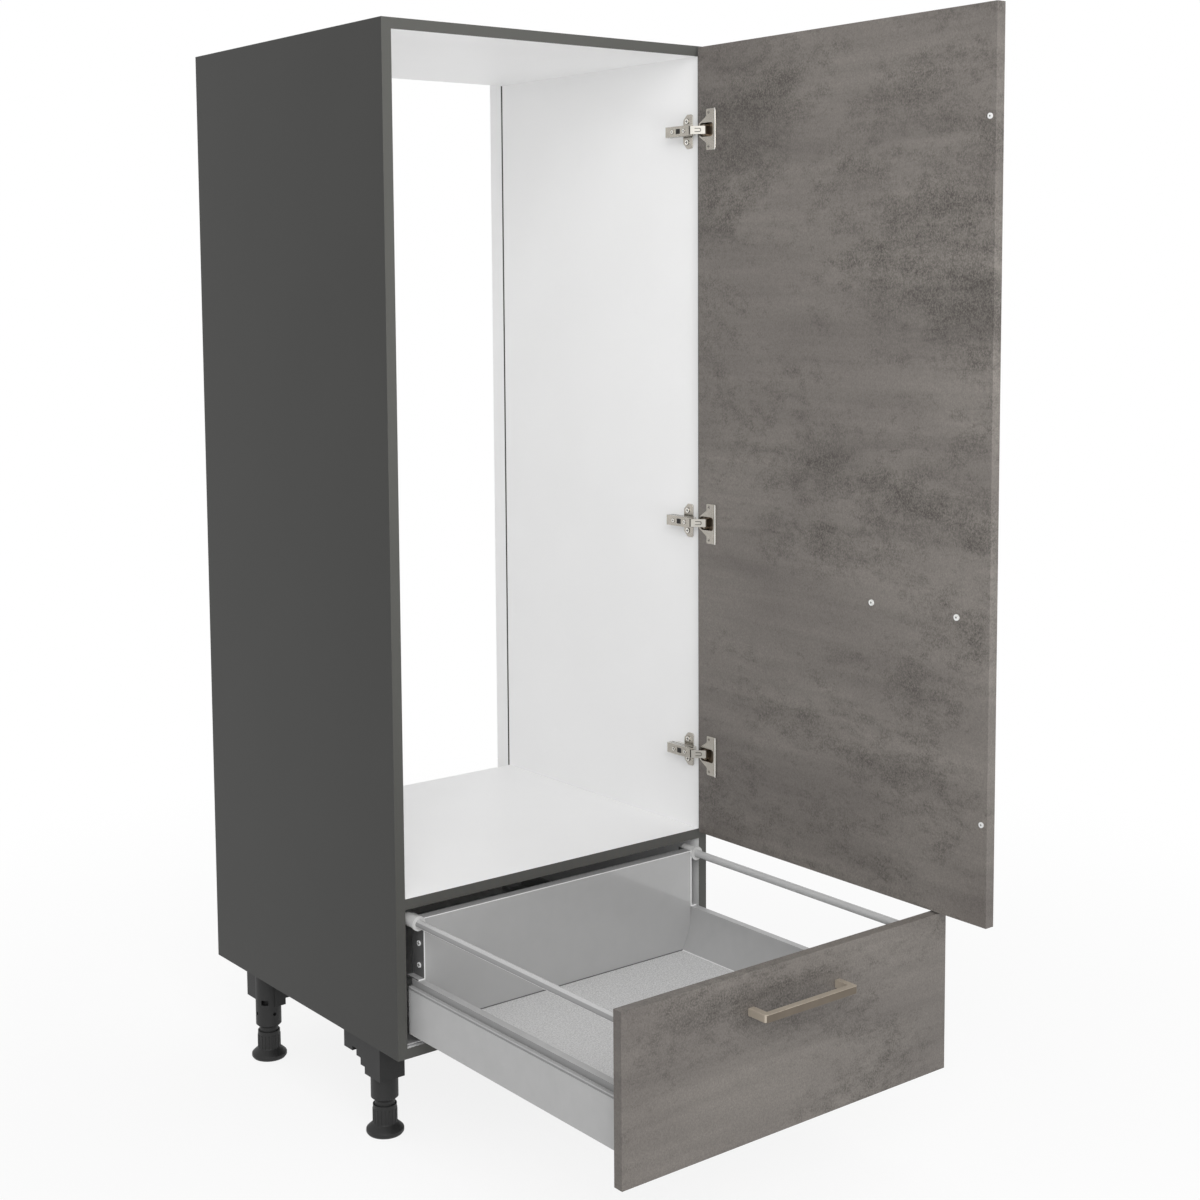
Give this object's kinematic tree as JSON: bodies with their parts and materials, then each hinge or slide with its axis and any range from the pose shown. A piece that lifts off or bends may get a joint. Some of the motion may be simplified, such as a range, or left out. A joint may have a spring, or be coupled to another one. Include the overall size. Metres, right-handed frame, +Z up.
{
  "type": "fridge housing unit",
  "caption": "Tall kitchen cabinet for a built-in fridge: open niche behind a hinged door on concealed hinges, full-extension drawer with gallery rails below, on levelling feet.",
  "frame": {"origin": "on the floor, below the middle of the box around the whole object with door and drawer open", "axes": "+X to the right of someone facing the unit, +Y from the front to the back, +Z up"},
  "size_m": [0.6268, 1.1734, 1.65],
  "materials": {
    "carcass_board": "melamine board, anthracite outside and white inside",
    "hardboard": "white lacquered hardboard",
    "dowel_wood": "raw beech",
    "front_board": "concrete-look decor board, matt",
    "hinge_nickel": "nickel-plated steel",
    "screw_steel": "zinc-plated steel",
    "runner_steel": "galvanised steel",
    "drawer_steel": "light grey powder coat",
    "drawer_board": "light grey speckled decor",
    "drawer_back_board": "glossy grey decor",
    "rail_steel": "light grey powder coat",
    "holder_plastic": "white moulded plastic",
    "foot_plastic": "black moulded plastic",
    "handle_nickel": "satin nickel",
    "buffer_clear": "clear soft plastic"
  },
  "bodies": {
    "carcass": {"left_side_panel": "carcass_board", "right_side_panel": "carcass_board", "top_panel": "carcass_board", "fridge_shelf": "carcass_board", "bottom_panel": "carcass_board", "drawer_compartment_back": "hardboard", "dowels": "dowel_wood", "hinge_arm_pins": "hinge_nickel", "hinge_arm_screws": "hinge_nickel", "carcass_screws": "screw_steel", "cabinet_runner_left": "runner_steel", "cabinet_runner_right": "runner_steel", "hinge_plate_low": "hinge_nickel", "hinge_plate_middle": "hinge_nickel", "hinge_plate_high": "hinge_nickel", "hinge_arm_low": "hinge_nickel", "hinge_arm_middle": "hinge_nickel", "hinge_arm_high": "hinge_nickel", "foot_socket_front_left": "foot_plastic", "foot_socket_front_right": "foot_plastic", "foot_socket_back_left": "foot_plastic", "foot_socket_back_right": "foot_plastic"},
    "hinge_links": {"hinge_link_low": "hinge_nickel", "hinge_link_middle": "hinge_nickel", "hinge_link_high": "hinge_nickel"},
    "door": {"door_panel": "front_board", "hinge_cup_screws": "hinge_nickel", "hinge_cup_pins": "hinge_nickel", "door_handle": "handle_nickel", "door_handle_screws": "screw_steel", "door_buffers": "buffer_clear", "hinge_cup_low": "hinge_nickel", "hinge_cup_middle": "hinge_nickel", "hinge_cup_high": "hinge_nickel"},
    "drawer": {"drawer_front": "front_board", "drawer_handle": "handle_nickel", "drawer_handle_screws": "screw_steel", "drawer_side_left": "drawer_steel", "drawer_side_right": "drawer_steel", "drawer_bottom": "drawer_board", "drawer_back": "drawer_back_board", "drawer_back_bracket_left": "drawer_steel", "drawer_back_bracket_right": "drawer_steel", "rail_back_holder_left": "holder_plastic", "rail_back_holder_right": "holder_plastic", "gallery_rail_left": "rail_steel", "gallery_rail_right": "rail_steel", "bracket_screws": "screw_steel", "rail_front_holders": "holder_plastic", "drawer_runner_left": "runner_steel", "drawer_runner_right": "runner_steel"},
    "runner_middles": {"runner_middle_left": "runner_steel", "runner_middle_right": "runner_steel"},
    "foot_front_left": {"levelling_foot_front_left": "foot_plastic"},
    "foot_front_right": {"levelling_foot_front_right": "foot_plastic"},
    "foot_back_left": {"levelling_foot_back_left": "foot_plastic"},
    "foot_back_right": {"levelling_foot_back_right": "foot_plastic"}
  },
  "joints": [
    {"name": "hinge_link_turn", "type": "hinge", "parent": "carcass", "child": "hinge_links", "pos_m": [0.25208, 0.01317, 0.896], "axis": [0, 0, 1], "range_deg": [-10.01, 45.01]},
    {"name": "door_swing", "type": "hinge", "parent": "hinge_links", "child": "door", "pos_m": [0.26692, -0.00167, 0.896], "axis": [0, 0, 1], "range_deg": [-135, 30]},
    {"name": "drawer_slide", "type": "slide", "parent": "carcass", "child": "drawer", "axis": [0, -1, 0], "range_m": [-0.497, 0]},
    {"name": "runner_slide", "type": "slide", "parent": "carcass", "child": "runner_middles", "axis": [0, -1, 0], "range_m": [-0.24851, 0.00001]},
    {"name": "foot_level_front_left", "type": "slide", "parent": "carcass", "child": "foot_front_left", "axis": [0, 0, -1], "range_m": [-0.0035, 0.02]},
    {"name": "foot_level_front_right", "type": "slide", "parent": "carcass", "child": "foot_front_right", "axis": [0, 0, -1], "range_m": [-0.0035, 0.02]},
    {"name": "foot_level_back_left", "type": "slide", "parent": "carcass", "child": "foot_back_left", "axis": [0, 0, -1], "range_m": [-0.0035, 0.02]},
    {"name": "foot_level_back_right", "type": "slide", "parent": "carcass", "child": "foot_back_right", "axis": [0, 0, -1], "range_m": [-0.0035, 0.02]}
  ],
  "couplings": [
    {"joint": "hinge_link_turn", "follows": "door_swing", "ratio": -0.33333},
    {"joint": "runner_slide", "follows": "drawer_slide", "ratio": 0.5}
  ]
}
